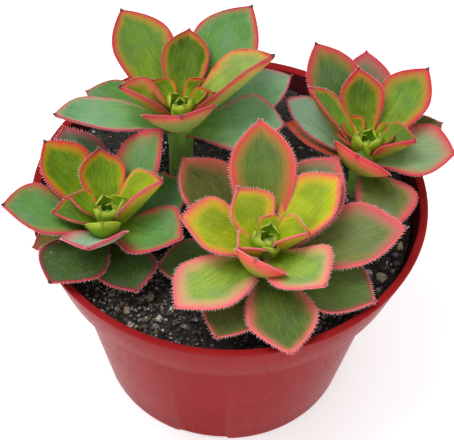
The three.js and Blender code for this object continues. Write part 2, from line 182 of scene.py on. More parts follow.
# A leaf's bloom, which is how much pale wax lies on it, and its colours from the middle outwards: the
# blade towards the tip, the blade at the foot, the warm zone inside the margin, and the margin itself.
TONE_PARTS = ("blade", "foot", "halo", "margin")
TONES = {
    "lime": (0.05, (174, 190, 34), (170, 190, 24), (222, 180, 50), (240, 108, 96)),
    "apple": (0.35, (160, 190, 80), (124, 158, 30), (222, 172, 128), (240, 116, 124)),
    "spring": (0.0, (120, 152, 14), (138, 172, 14), (186, 150, 36), (222, 62, 46)),
    "meadow": (0.12, (118, 152, 44), (148, 178, 28), (184, 138, 58), (212, 42, 66)),
    "moss": (0.1, (104, 126, 52), (176, 186, 36), (170, 126, 60), (226, 66, 76)),
    "moss2": (0.1, (94, 116, 48), (88, 106, 36), (164, 120, 80), (236, 112, 116)),
    "leek": (0.0, (88, 118, 18), (134, 164, 16), (178, 130, 44), (214, 46, 62)),
    "fern": (0.15, (86, 118, 50), (82, 114, 24), (150, 120, 60), (208, 58, 76)),
    "sage": (0.35, (102, 154, 76), (116, 152, 42), (156, 136, 84), (208, 50, 74)),
    "silver": (0.4, (150, 174, 126), (132, 162, 90), (178, 140, 110), (208, 70, 84)),
    "mint": (0.2, (170, 192, 96), (142, 172, 60), (220, 168, 90), (222, 48, 60)),
    "mist": (0.7, (172, 206, 178), (140, 180, 110), (184, 160, 144), (212, 78, 106)),
    "frost": (0.6, (122, 172, 118), (112, 158, 66), (170, 150, 118), (210, 80, 108)),
    "teal": (0.3, (78, 112, 76), (68, 98, 46), (118, 98, 80), (166, 78, 92)),
    "dusk": (0.25, (122, 132, 66), (98, 118, 36), (170, 118, 92), (214, 84, 96)),
    "plum": (0.3, (138, 116, 88), (104, 116, 64), (170, 104, 92), (192, 70, 82)),
    "olive": (0.05, (104, 102, 42), (88, 94, 30), (150, 106, 62), (212, 100, 86)),
    "umber": (0.05, (108, 110, 46), (92, 98, 36), (128, 94, 56), (164, 92, 78)),
    "straw": (0.05, (208, 172, 110), (168, 146, 76), (180, 120, 84), (194, 100, 88)),
    # These two tones are painted shade: darker greens for low leaves that lie in the shade of the others.
    "shade": (0.1, (106, 128, 62), (80, 106, 40), (122, 94, 62), (166, 80, 78)),
    "dark": (0.15, (70, 98, 46), (50, 74, 30), (106, 70, 56), (150, 60, 68)),
    "coral": (0.0, (146, 158, 40), (130, 154, 28), (234, 128, 100), (234, 78, 76)),
    "flame": (0.0, (200, 120, 60), (180, 120, 50), (246, 128, 60), (255, 100, 60)),
    "blush": (0.3, (138, 162, 84), (120, 156, 40), (206, 130, 90), (212, 58, 58)),
    "bud": (0.0, (122, 162, 22), (98, 142, 12), (140, 172, 34), (170, 188, 66)),
}
SUNNY = ("lime", "coral", "flame", "straw", "mint", "bud")  # tones that don't turn cooler towards the tip

# Red lines along the very edge of the leaves.
LINES = {"front_plant": linear(234, 104, 112), "left_plant": linear(200, 60, 86),
         "back_plant": linear(170, 54, 78), "right_plant": linear(204, 46, 72)}

# ---- Node graphs ----


class Graph:
    """A material under construction: each call adds nodes and gives back the socket to link on."""

    def __init__(self, name):
        self.material = bpy.data.materials.new(name)
        self.material.use_nodes = True
        self.tree = self.material.node_tree

    def put(self, value, socket):
        if isinstance(value, bpy.types.NodeSocket):
            self.tree.links.new(value, socket)
        else:
            socket.default_value = value

    def add(self, kind, inputs, **settings):
        """Adds a node, sets or links its inputs, and gives back its outputs."""
        node = self.tree.nodes.new("ShaderNode" + kind)
        for name, value in settings.items():
            setattr(node, name, value)
        for key, value in inputs.items():
            self.put(value, node.inputs[key])
        return node.outputs

    def set(self, **inputs):
        """Sets or links the shader's inputs, named with underscores for spaces."""
        for name, value in inputs.items():
            self.put(value, self.tree.nodes["Principled BSDF"].inputs[name.replace("_", " ")])
        return self.material

    def attribute(self, name, output="Fac"):
        return self.add("Attribute", {}, attribute_name=name)[output]

    def position(self):
        """The point's place in the part's own frame, in millimetres."""
        return self.scaled(self.add("TexCoord", {})["Object"], (1 / MM,) * 3)

    def scaled(self, vector, factors):
        return self.add("VectorMath", {0: vector, 1: factors}, operation="MULTIPLY")[0]

    def axis(self, vector, name):
        return self.add("SeparateXYZ", {0: vector})[name]

    def noise(self, vector, scale, detail=3, roughness=0.5):
        inputs = {"Vector": vector, "Scale": scale, "Detail": detail, "Roughness": roughness}
        return self.add("TexNoise", inputs)["Fac"]

    def cells(self, vector, scale):
        """Distance to the nearest of scattered points, and a random number for each point."""
        outputs = self.add("TexVoronoi", {"Vector": vector, "Scale": scale})
        return outputs["Distance"], self.axis(outputs["Color"], "X")

    def math(self, operation, first, second):
        return self.add("Math", {0: first, 1: second}, operation=operation)[0]

    def times(self, first, second):
        return self.math("MULTIPLY", first, second)

    def plus(self, first, second):
        return self.math("ADD", first, second)

    def swing(self, value, span):
        """A noise value as one that swings about 0; span is what a change of 1 stands for."""
        return self.times(self.math("SUBTRACT", value, 0.5), span)

    def smooth(self, value, low, high, most=1.0, least=0.0):
        """Goes smoothly from least, where value is low, to most, where it is high."""
        inputs = {"Value": value, "From Min": low, "From Max": high, "To Min": least, "To Max": most}
        return self.add("MapRange", inputs, interpolation_type="SMOOTHSTEP")["Result"]

    def mix(self, share, first, second, blend="MIX"):
        inputs = {0: share, 6: first, 7: second}
        return self.add("Mix", inputs, data_type="RGBA", blend_type=blend)[2]

    def shaded(self, colour, tint):
        """The colour multiplied by a tint."""
        return self.mix(1.0, colour, tint, "MULTIPLY")

    def veil(self, colour, tint, value, low, high, most=1.0):
        """The colour turned towards a tint, from none of it where value is low to most where it is high."""
        return self.mix(self.smooth(value, low, high, most), colour, tint)

    def bump(self, height, distance):
        """A normal from a height; distance is what a height of 1 stands for, in millimetres."""
        return self.add("Bump", {"Height": height, "Distance": distance * MM})["Normal"]


# ---- Materials ----


def leaf_material():
    """Fleshy leaf: faint streaks, warm zone, red margin, waxy bloom, flecks and a dry point."""
    graph = Graph("leaf_flesh")
    spot = graph.attribute("spot", "Vector")
    edge = graph.attribute("edge")
    reach = graph.attribute("reach")
    streak = graph.noise(graph.scaled(spot, (0.07, 1.1, 1)), 1.0, 4, 0.6)
    fine_streak = graph.noise(graph.scaled(spot, (0.3, 4.5, 1)), 1.0, 3, 0.6)
    cloud = graph.noise(spot, 0.11, 3)
    patch = graph.noise(spot, 0.3, 3)
    grain = graph.noise(spot, 1.1, 3)
    pore = graph.noise(spot, 2.2, 2)

    blade = graph.veil(graph.attribute("foot", "Color"), graph.attribute("blade", "Color"), reach, 0.12, 0.6)
    cooler = graph.shaded(blade, linear(146, 186, 196))
    blade = graph.mix(graph.times(graph.attribute("cool"), graph.smooth(reach, 0.45, 0.95)), blade, cooler)
    deeper = graph.shaded(blade, linear(178, 192, 150))
    blade = graph.veil(blade, deeper, streak, 0.4, 0.7, 0.42)
    blade = graph.veil(blade, deeper, cloud, 0.42, 0.62, 0.6)
    blade = graph.veil(blade, deeper, pore, 0.4, 0.62, 0.3)
    paler = graph.mix(0.36, blade, linear(206, 222, 130))
    blade = graph.veil(blade, paler, fine_streak, 0.44, 0.72, 0.38)
    blade = graph.mix(graph.times(graph.attribute("under"), 0.35), blade, linear(170, 190, 70))
    wax = graph.times(graph.attribute("bloom"), graph.smooth(cloud, 0.36, 0.66))
    wax = graph.times(wax, graph.smooth(reach, 0.25, 0.85, 0.6))
    blade = graph.mix(wax, blade, linear(172, 202, 174))

    # Depth from the edge, in widths of the red margin, whose inner border strays along the streaks.
    rim = graph.attribute("rim")
    stray = graph.times(graph.swing(streak, 2.0), graph.smooth(edge, 0.3, 2.5))
    depth = graph.math("DIVIDE", graph.plus(graph.plus(edge, graph.swing(patch, 2.4)), stray), rim)
    halo = graph.attribute("halo", "Color")
    margin = graph.veil(graph.attribute("margin", "Color"), halo, grain, 0.4, 0.75, 0.22)
    colour = graph.veil(blade, halo, depth, 1.9, 0.7, 0.7)
    colour = graph.veil(colour, margin, depth, 1.2, -0.1, 0.98)
    from_line = graph.math("DIVIDE", edge, graph.smooth(rim, 0.6, 2.2, 1.0, 0.45))
    colour = graph.veil(colour, graph.attribute("line", "Color"), from_line, 1.0, 0.1, 0.75)

    far, random_number = graph.cells(spot, 0.62)
    fleck = graph.times(graph.smooth(far, 0.26, 0.12), graph.smooth(grain, 0.5, 0.62))
    fleck = graph.times(graph.times(fleck, graph.attribute("flecks")), 0.6)
    pale = graph.math("GREATER_THAN", random_number, 0.45)
    colour = graph.mix(fleck, colour, graph.mix(pale, linear(84, 100, 48), linear(222, 228, 170)))
    dry = graph.smooth(graph.plus(graph.attribute("to_tip"), stray), 1.6, 0.3)
    colour = graph.mix(graph.times(dry, graph.attribute("dry")), colour, linear(70, 48, 44))
    height = graph.plus(fine_streak, graph.times(grain, 0.6))
    return graph.set(
        Base_Color=colour, Normal=graph.bump(height, 0.12), Specular_IOR_Level=0.11,
        Roughness=graph.smooth(cloud, 0.3, 0.7, 0.58, 0.44),
        Subsurface_Weight=0.1, Subsurface_Radius=(1.0, 0.7, 0.3), Subsurface_Scale=1.2 * MM,
    )


def fringe_material():
    """The stiff hairs of a leaf's margin, pink where they grow from it and nearly white at the point."""
    graph = Graph("fringe_hair")
    patch = graph.noise(graph.position(), 0.6, 2)
    root = graph.veil(graph.attribute("root", "Color"), linear(240, 136, 132), patch, 0.35, 0.65)
    colour = graph.veil(root, linear(254, 212, 202), graph.attribute("to_point"), 0.2, 1.0)
    return graph.set(Base_Color=colour, Roughness=0.5, Subsurface_Weight=0.1,
                     Subsurface_Radius=(1.0, 0.6, 0.5), Subsurface_Scale=0.5 * MM, Specular_IOR_Level=0.2)


def stem_material():
    """Green succulent stem with soft lengthwise streaks, browner near the soil and on its leaf scars."""
    graph = Graph("stem_bark")
    place = graph.position()
    streak = graph.noise(graph.scaled(place, (0.5, 0.5, 0.06)), 1.0, 3, 0.5)
    patch = graph.noise(place, 0.25, 3)
    height = graph.plus(graph.axis(place, "Z"), graph.times(patch, 10))
    green = graph.veil(linear(118, 160, 62), linear(140, 180, 80), streak, 0.3, 0.7)
    brown = graph.veil(linear(96, 88, 52), linear(128, 112, 72), streak, 0.3, 0.7)
    colour = graph.veil(green, brown, height, 99, 91)
    colour = graph.mix(graph.attribute("scar"), colour, linear(120, 122, 60))
    return graph.set(Base_Color=colour, Roughness=0.55, Normal=graph.bump(streak, 0.2),
                     Subsurface_Weight=0.08, Subsurface_Radius=(1.0, 0.7, 0.3), Subsurface_Scale=2 * MM)


def pot_material():
    """Moulded polypropylene: red with faint flow lines and a few specks. Inside, a brighter red is painted
    light, the glow through the plastic, and painted shade with soil stains darkens the wall except on the
    side that faces the light.
    """
    graph = Graph("pot_plastic")
    place = graph.position()
    mould = graph.noise(place, 1.6, 4, 0.6)
    flow = graph.noise(graph.scaled(place, (0.03, 0.03, 0.5)), 1.0, 3, 0.5)
    cloud = graph.noise(place, 0.035, 4, 0.55)
    smear = graph.noise(graph.scaled(place, (0.16, 0.16, 0.5)), 1.0, 5, 0.65)
    scuff = graph.noise(graph.scaled(place, (0.5, 0.5, 0.1)), 1.0, 5, 0.7)
    red = graph.veil(linear(136, 26, 28), linear(147, 31, 33), flow, 0.3, 0.7)
    red = graph.veil(red, linear(156, 44, 50), cloud, 0.42, 0.75, 0.3)
    # Painted light: the inside wall and the inner edge of the lip get a brighter, more saturated red, the
    # glow of light through the plastic.
    red = graph.mix(graph.attribute("inner"), red, linear(190, 34, 26))
    far, random_number = graph.cells(place, 0.085)
    chosen = graph.math("GREATER_THAN", random_number, 0.62)
    ragged = graph.plus(far, graph.times(mould, 0.05))
    red = graph.mix(graph.times(graph.smooth(ragged, 0.105, 0.075, 0.6), chosen), red, linear(84, 34, 44))
    # Painted shade with soil stains: the inside wall goes dark except on the side that faces the light.
    soiled = graph.plus(graph.attribute("soiled"), graph.swing(smear, 1.2))
    red = graph.veil(red, linear(40, 24, 32), soiled, 0.4, 0.9, 0.92)
    return graph.set(Base_Color=red, Roughness=graph.smooth(scuff, 0.35, 0.75, 0.34, 0.22),
                     Normal=graph.bump(mould, 0.04), Specular_IOR_Level=0.012,
                     Subsurface_Weight=0.06, Subsurface_Radius=(1.0, 0.25, 0.2), Subsurface_Scale=1.5 * MM)


def soil_material():
    """Damp peat between the crumbs."""
    graph = Graph("soil_bed")
    place = graph.position()
    lump = graph.noise(place, 0.5, 6, 0.7)
    fibre = graph.noise(graph.scaled(place, (1, 3.2, 1)), 0.7, 5, 0.7)
    colour = graph.veil(linear(24, 22, 24), linear(62, 54, 48), lump, 0.35, 0.7)
    colour = graph.veil(colour, linear(96, 84, 70), fibre, 0.62, 0.75, 0.7)
    return graph.set(Base_Color=colour, Roughness=0.95, Normal=graph.bump(lump, 1.2))


def crumb_material():
    """Crumbs and grit: each lump has its own tint, mottled and pitted."""
    graph = Graph("soil_crumbs")
    place = graph.position()
    mottle = graph.noise(place, 1.4, 5, 0.7)
    pit = graph.noise(place, 3.2, 3, 0.6)
    tint = graph.attribute("tint", "Color")
    colour = graph.veil(graph.shaded(tint, linear(150, 144, 140)), tint, mottle, 0.36, 0.66)
    return graph.set(Base_Color=colour, Roughness=0.9, Normal=graph.bump(pit, 0.35))


# ---- Meshes ----

KINDS = {1: ("FLOAT", "value"), 3: ("FLOAT_VECTOR", "vector"), 4: ("FLOAT_COLOR", "color")}


def add_piece(name, points, faces, material, attributes=None, flat_above=180):
    """An object from points in millimetres, with a value of each attribute for each point."""
    mesh = bpy.data.meshes.new(name)
    mesh.from_pydata((np.asarray(points) * MM).tolist(), [], faces)
    mesh.materials.append(material)
    for attribute, values in (attributes or {}).items():
        values = np.asarray(values, float)
        kind, field = KINDS[values.shape[1] if values.ndim == 2 else 1]
        layer = mesh.attributes.new(attribute, kind, "POINT")
        layer.data.foreach_set(field, values.ravel())
    mesh.shade_smooth()
    if flat_above < 180:
        mesh.set_sharp_from_angle(angle=radians(flat_above))
    piece = bpy.data.objects.new(name, mesh)
    scene.collection.objects.link(piece)
    return piece


def skin_faces(rings, size):
    """Faces of a closed skin over rings of points: quads between them, and a cap at each end."""
    def at(ring, index):
        return ring * size + index % size
    faces = [
        (at(ring, i), at(ring + 1, i), at(ring + 1, i + 1), at(ring, i + 1))
        for ring in range(rings - 1) for i in range(size)
    ]
    faces.append(tuple(at(0, i) for i in range(size)))
    faces.append(tuple(at(rings - 1, i) for i in reversed(range(size))))
    return faces


def angles(sides):
    return np.arange(sides) * 2 * pi / sides


def round_skin(x, y, z):
    """Points and faces of a closed skin from a grid whose rows are rings about an upright line."""
    return np.stack((x, y, z), -1).reshape(-1, 3), [face[::-1] for face in skin_faces(*z.shape)]


class Heap:
    """Points, faces and attributes of many small shapes that end up in one mesh."""

    def __init__(self):
        self.points, self.faces, self.attributes, self.count = [], [], {}, 0

    def add(self, points, faces, attributes):
        """Adds a shape whose faces count from 0; a single value stands for all its points."""
        number = len(points)
        self.points.append(points)
        self.faces += [tuple(corner + self.count for corner in face) for face in faces]
        for name, value in attributes.items():
            value = np.asarray(value, float)
            whole = value if value.ndim and len(value) == number else np.tile(value, (number, 1))
            self.attributes.setdefault(name, []).append(np.reshape(whole, (number, -1)))
        self.count += number

    def piece(self, name, material, flat_above=180):
        values = {key: np.concatenate(parts) for key, parts in self.attributes.items()}
        return add_piece(name, np.concatenate(self.points), self.faces, material, values, flat_above)


# ---- Leaves ----

COLUMNS = 16
ACROSS = np.sin(np.linspace(-1, 1, COLUMNS + 1) * pi / 2)  # -1 and 1 are the two edges
NOSE = np.radians((62, 21, -21, -62))  # where points lie on the round of the edge
ROWS = Values(least=12, length=3, crowding=1.25)  # one more row for each 3 mm, closer towards the tip
POINT = 0.6  # length of the horny point at a leaf's tip
CREASE = 0.12  # how round the fold is at the midrib, as a share of the half width
GROOVE = Values(depth=0.32, width=0.22)  # along the midrib; the width is a share of the half width
BLUNTER = (-0.1, 0.35)  # how much a leaf's tip differs from the usual
SWEEP = 0.008  # how far a tip lies off its azimuth, as a share of the length
WAVE = Values(height=0.011, turns=(1.4, 1.7), power=2.5)  # of the edges; height is a share of the length
UNDER_RIM = Values(least=0.6, of_width=0.07, of_rim=0.35)  # the margin's width on the underside


def unit(vectors):
    return vectors / np.linalg.norm(vectors, axis=-1, keepdims=True)


def half_width(share, width, tip_power):
    """Half the leaf's width at shares of its length."""
    widest = LEAF.widest
    swell = np.sin(np.clip(share / widest, 0, 1) * pi / 2) ** 1.5
    rising = LEAF.foot_share + (1 - LEAF.foot_share) * swell
    falling = 1 - np.clip((share - widest) / (1 - widest), 0, 1) ** tip_power
    return width / 2 * np.where(share < widest, rising, falling)


class Blade:
    """One leaf's skin: rings of points along an arc, cupped, thick in the middle, round at the edge."""

    def __init__(self, leaf, crown, draw):
        self.leaf = leaf
        self.young = max(0.0, 1 - leaf.drop / LEAF.oldest_drop)
        self.length = leaf.length - POINT
        self.tip_power = LEAF.tip_power + draw.uniform(*BLUNTER)
        rows = ROWS.least + int(leaf.length / ROWS.length)
        share = 1 - (1 - np.arange(rows + 1) / rows) ** ROWS.crowding
        self.share = np.concatenate((share, 1 + np.array((0.45, 1.0)) * POINT / self.length))
        point_half = np.interp(self.share, (0.97, 1, *self.share[-2:]), (0, 0.42, 0.26, 0.06))
        half = np.maximum(half_width(self.share, leaf.width, self.tip_power), point_half)
        edge = np.minimum(LEAF.edge, 1.2 * half + 0.05)

        middle, across, normal = self.spine(crown, draw)
        lift, top, under = self.heights(half, edge, draw)
        inner = np.maximum(half - edge / 2, 0.02)

        def nose(sign, turn):
            column = 0 if sign < 0 else -1
            middle_height = lift[:, column, None] - edge[:, None] / 2
            a = sign * (inner[:, None] + edge[:, None] / 2 * np.cos(turn))
            return a, middle_height + edge[:, None] / 2 * np.sin(turn)

        right, left = nose(1, NOSE), nose(-1, NOSE[::-1])
        a = np.hstack((inner[:, None] * ACROSS, right[0], inner[:, None] * ACROSS[::-1], left[0]))
        b = np.hstack((top, right[1], under[:, ::-1], left[1]))
        grid = middle[:, None] + across[:, None] * a[..., None] + normal[:, None] * b[..., None]
        self.points = grid.reshape(-1, 3)
        self.faces = skin_faces(*a.shape)
        column = np.arange(a.shape[1])
        first_under = COLUMNS + 1 + len(NOSE) // 2
        under_columns = (column >= first_under) & (column < first_under + COLUMNS + 1 + len(NOSE))
        self.under = np.tile(under_columns, len(a))
        self.measure(a, half)
        self.margins = [
            (middle + across * sign * half[:, None] + normal * (lift[:, column] - edge / 2)[:, None],
             normal, self.share, sign)
            for sign, column in ((1, -1), (-1, 0))
        ]

    def spine(self, crown, draw):
        """Points along the leaf's middle, with the directions across it and out of its upper side."""
        leaf, share = self.leaf, self.share
        bend = radians(LEAF.young_bend * self.young - LEAF.sag + leaf.curl) or 1e-6
        azimuth, start = radians(leaf.azimuth), radians(leaf.rise)
        away = np.array((cos(azimuth), sin(azimuth), 0))
        side = np.array((-away[1], away[0], 0))
        up = np.array((0, 0, 1))
        slope = start + bend * share
        turn = np.radians(leaf.roll) * np.sin(np.clip(share, 0, 1) * pi / 2)
        sweep = draw.normal(0, SWEEP) * leaf.length
        out = LEAF.foot + self.length / bend * (np.sin(slope) - sin(start))
        high = -self.length / bend * (np.cos(slope) - cos(start)) - leaf.drop
        face = up * np.cos(slope)[:, None] - away * np.sin(slope)[:, None]
        across = side * np.cos(turn)[:, None] + face * np.sin(turn)[:, None]
        normal = face * np.cos(turn)[:, None] - side * np.sin(turn)[:, None]
        middle = crown + away * out[:, None] + up * high[:, None] + side * (sweep * share**2)[:, None]
        return middle, across, normal

    def heights(self, half, edge, draw):
        """Heights over the spine across each row: of the cupped blade, its upper side and its underside."""
        leaf, share, v = self.leaf, self.share, ACROSS
        arch = np.sin(np.clip(share, 0, 1) * pi)
        waves = [WAVE.height * leaf.length * np.sin(2 * pi * turns * share + phase) * arch
                 for turns, phase in zip(WAVE.turns, draw.uniform(0, 2 * pi, 2))]
        wave = np.where(v > 0, waves[0][:, None], waves[1][:, None]) * np.abs(v) ** WAVE.power
        fold = leaf.fold * (np.sqrt(v**2 + CREASE**2) - CREASE) / (hypot(1, CREASE) - CREASE)
        cup = LEAF.cup + LEAF.young_cup * self.young
        lift = half[:, None] * (cup * v**2 + fold) + wave
        groove = GROOVE.depth * arch[:, None] ** 0.5 * np.exp(-((v / GROOVE.width) ** 2))
        top = lift - groove * np.minimum(half / 4, 1)[:, None]
        thick = LEAF.thick_at_foot + (LEAF.thick_at_tip - LEAF.thick_at_foot) * np.minimum(share, 1)
        thick = np.minimum(thick, 1.3 * half + 0.1)
        under = lift - edge[:, None] - (thick - edge)[:, None] * (1 - v**2)
        return lift, top, under

    def measure(self, a, half):
        """Where each point lies: along the leaf, across it, and how far from its outline and its tip."""
        x = np.broadcast_to((self.share * self.length)[:, None], a.shape)
        y = np.clip(a, -half[:, None], half[:, None])
        trace = np.linspace(0, 1, 160)
        trace_x, trace_y = trace * self.length, half_width(trace, self.leaf.width, self.tip_power)
        gap = np.hypot(x[..., None] - trace_x, np.abs(y)[..., None] - trace_y)
        self.edge = np.where(x > self.length, 0, gap.min(axis=-1)).ravel()
        self.x, self.y = x.ravel(), y.ravel()
        self.across_share = (y / np.maximum(half, 0.1)[:, None]).ravel()
        self.reach = np.minimum(self.x / self.length, 1)
        self.to_tip = np.hypot(self.x - self.length, self.y)


def blade_attributes(blade, line, seed):
    """What the leaf's material reads at each point."""
    leaf = blade.leaf
    bloom, *tints = TONES[leaf.tone]
    colours = {part: linear(*tint) for part, tint in zip(TONE_PARTS, tints)}
    grow = np.clip((blade.reach - 0.12) / 0.4, 0, 1)
    at_tip = 1 + leaf.tip * np.clip((blade.reach - 0.6) / 0.4, 0, 1)
    above = leaf.rim * (1 + leaf.lean * blade.across_share) * at_tip
    below = UNDER_RIM.least + UNDER_RIM.of_width * leaf.width + UNDER_RIM.of_rim * leaf.rim
    rim = np.where(blade.under, below * at_tip, above)
    rim = rim * (0.3 + 0.7 * grow * grow * (3 - 2 * grow))
    return {
        "spot": np.stack((blade.x, blade.y, np.full_like(blade.x, seed * 23.7)), -1),
        "edge": blade.edge, "reach": blade.reach, "rim": np.maximum(rim, 0.3), "to_tip": blade.to_tip,
        "bloom": bloom, **colours, "line": colours["margin"] if leaf.tone == "bud" else line,
        "under": blade.under.astype(float), "cool": 0.0 if leaf.tone in SUNNY else 0.5,
        "flecks": float("flecks" in leaf.marks), "dry": 1.0 if "dry" in leaf.marks else 0.45,
    }


def bud_leaves(first_azimuth):
    """The tight bud: small leaves, each turned on from the last."""
    return [
        Leaf(first_azimuth + i * BUD.turn, BUD.rise - i * BUD.fall, BUD.length * (1 + i * BUD.grow),
             BUD.width * (1 + i * BUD.grow), BUD.drop, "bud", BUD.rim, curl=BUD.curl)
        for i in range(BUD.leaves)
    ]


# A hair's sizes; its lean towards the tip has a mean and a spread in degrees, and its size a range.
HAIR = Values(spacing=1.0, stray=0.18, half_width=0.27, half_depth=0.13, sunk=0.25, first_share=0.25,
              lean=(26, 8), lift=0.1, size=(0.75, 1.15))
HAIR_FACES = ((0, 1, 2), (0, 3, 1), (1, 3, 2), (2, 3, 0))


def add_hairs(heap, blade, length, line, draw):
    """Stiff hairs along both margins, each a slim closed spike that leans towards the leaf's tip."""
    for points, normals, share, sign in blade.margins:
        along = np.concatenate(((0,), np.cumsum(np.linalg.norm(np.diff(points, axis=0), axis=1))))
        first = np.interp(HAIR.first_share, share, along)
        stations = np.arange(first, along[-1], HAIR.spacing)
        stations = stations + draw.uniform(-HAIR.stray, HAIR.stray, len(stations))

        def follow(values, at):
            return np.stack([np.interp(at, along, values[:, k]) for k in range(3)], -1)
        place = follow(points, stations)
        ahead = unit(follow(points, stations + 0.6) - follow(points, stations - 0.6))
        normal = unit(follow(normals, stations))
        outward = unit(np.cross(normal, ahead)) * sign
        number = len(stations)
        lean = np.radians(draw.normal(*HAIR.lean, number))[:, None]
        lift = draw.normal(0, HAIR.lift, number)[:, None]
        heading = unit(outward * np.cos(lean) + ahead * np.sin(lean) + normal * lift)
        size = length * draw.uniform(*HAIR.size, number)[:, None]
        base = place - outward * HAIR.sunk
        corners = (
            base + ahead * HAIR.half_width - normal * HAIR.half_depth,
            base - ahead * HAIR.half_width - normal * HAIR.half_depth,
            base + normal * HAIR.half_depth,
            place + heading * size,
        )
        inside = np.all([np.all((c > BOX_LOW) & (c < BOX_HIGH), axis=1) for c in corners], axis=0)
        for i in np.flatnonzero(inside):
            hair = np.array([corner[i] for corner in corners])
            heap.add(hair, HAIR_FACES, {"to_point": np.array((0, 0, 0, 1)), "root": line})


def build_plant(name, plant, number, materials):
    """A plant's three pieces: its leaves, the hairs on their margins, and its stem."""
    crown = np.array(plant.crown, float)
    flesh, fringe = Heap(), Heap()
    leaves = plant.leaves + bud_leaves(plant.bud)
    for i, leaf in enumerate(leaves):
        draw = np.random.default_rng(1000 * number + i)
        blade = Blade(leaf, crown, draw)
        points = np.clip(blade.points, BOX_LOW, BOX_HIGH)
        flesh.add(points, blade.faces, blade_attributes(blade, LINES[name], 7 * number + i))
        if leaf.tone != "bud":
            length = plant.fringe * min(1, leaf.length / 30 + 0.15)
            add_hairs(fringe, blade, length, LINES[name], draw)
    pieces = (
        flesh.piece(name + "_leaves", materials["leaf"]),
        fringe.piece(name + "_fringe", materials["fringe"]),
        build_stem(name + "_stem", crown, materials["stem"]),
    )
    for piece in pieces:
        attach(piece, "root")
        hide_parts(name)


# Crescent leaf scars: half_turn is in radians, and the crescent's ends lie higher than its middle by rise.
SCAR = Values(spacing=1.9, half_turn=0.9, half_height=0.55, rise=0.6, lift=0.16)


def wrapped(angle):
    """The angle brought to within half a turn of 0."""
    return (angle + pi) % (2 * pi) - pi


def build_stem(name, crown, material):
    """A tapering stem from its cut end in the soil to the crown, with crescent leaf scars in a spiral."""
    foot = STEM.depth - crown[2]
    neck, below = STEM.neck, STEM.neck_below
    radii = ((foot, STEM.radius - 0.8), (foot + 1.2, STEM.radius), (-below - 4, STEM.radius),
             (-below + 1, neck), (-below * 0.42, neck * 0.88), (-1.7, neck * 0.63), (0.4, 0.6))
    heights = np.arange(foot, 0.4, 0.5)
    angle = angles(40)
    radius = np.interp(heights, *zip(*radii))[:, None] * np.ones_like(angle)
    scars = np.zeros_like(radius)
    for i, height in enumerate(np.arange(-below - 2, foot + 18, -SCAR.spacing)):
        turn = wrapped(angle - radians(i * BUD.turn))
        rise = SCAR.rise * (turn / SCAR.half_turn) ** 2
        crescent = np.abs(heights[:, None] - height - rise) / SCAR.half_height
        scars = np.maximum(scars, np.clip(1 - crescent, 0, 1) * (np.abs(turn) < SCAR.half_turn))
    radius = radius * (1 + 0.015 * np.sin(5 * angle + 0.2 * heights[:, None])) + SCAR.lift * scars
    x, y = crown[0] + radius * np.cos(angle), crown[1] + radius * np.sin(angle)
    z = np.broadcast_to(crown[2] + heights[:, None], radius.shape)
    return add_piece(name, *round_skin(x, y, z), material, {"scar": 0.6 * scars.ravel()}, 70)


# ---- Pot ----

LIT_WALL = Values(azimuth=218, spread=34)  # degrees; where the inside wall above the soil faces the light and gets no painted shade or soil stain
POT_CORNERS = (0.8, 0.7, 0.5, 0.8, 0.7, 0.25, 0.25, 0.45, 1.0, 1.0, 1.5)  # how far each rounding reaches
COLLAR_TOP = Values(inset=0.14, down=0.5)  # where the collar's side ends, from the rim's outer edge
INSIDE_FROM = 0.7  # the inside is the last part of the profile, from this share of it
OUT_OF_ROUND = 0.12  # how far the soft wall is pressed in at the rim
CAP_RADIUS = 4  # of the flat discs in the middle of the floor
NOTCH_RAMP = 0.8  # width of each slanted end of a notch


def inside_band(height):
    """Radius of the wall's inner face at a height inside the collar."""
    low = POT.band_foot_radius - POT.wall
    high = POT.rim_radius - POT.lip
    return low + (high - low) * (height - BAND_BOTTOM) / POT.band_height


def rounded(profile, radii, steps=5):
    """The profile with each inner corner replaced by an arc that starts radii[i] from the corner."""
    result = [profile[0]]
    for before, corner, after, radius in zip(profile, profile[1:], profile[2:], radii):
        corner = np.array(corner, float)
        start = corner + unit(np.array(before) - corner) * radius
        end = corner + unit(np.array(after) - corner) * radius
        for t in np.linspace(0, 1, steps):
            result.append((1 - t) ** 2 * start + 2 * t * (1 - t) * corner + t**2 * end)
    result.append(profile[-1])
    return np.array(result, float)


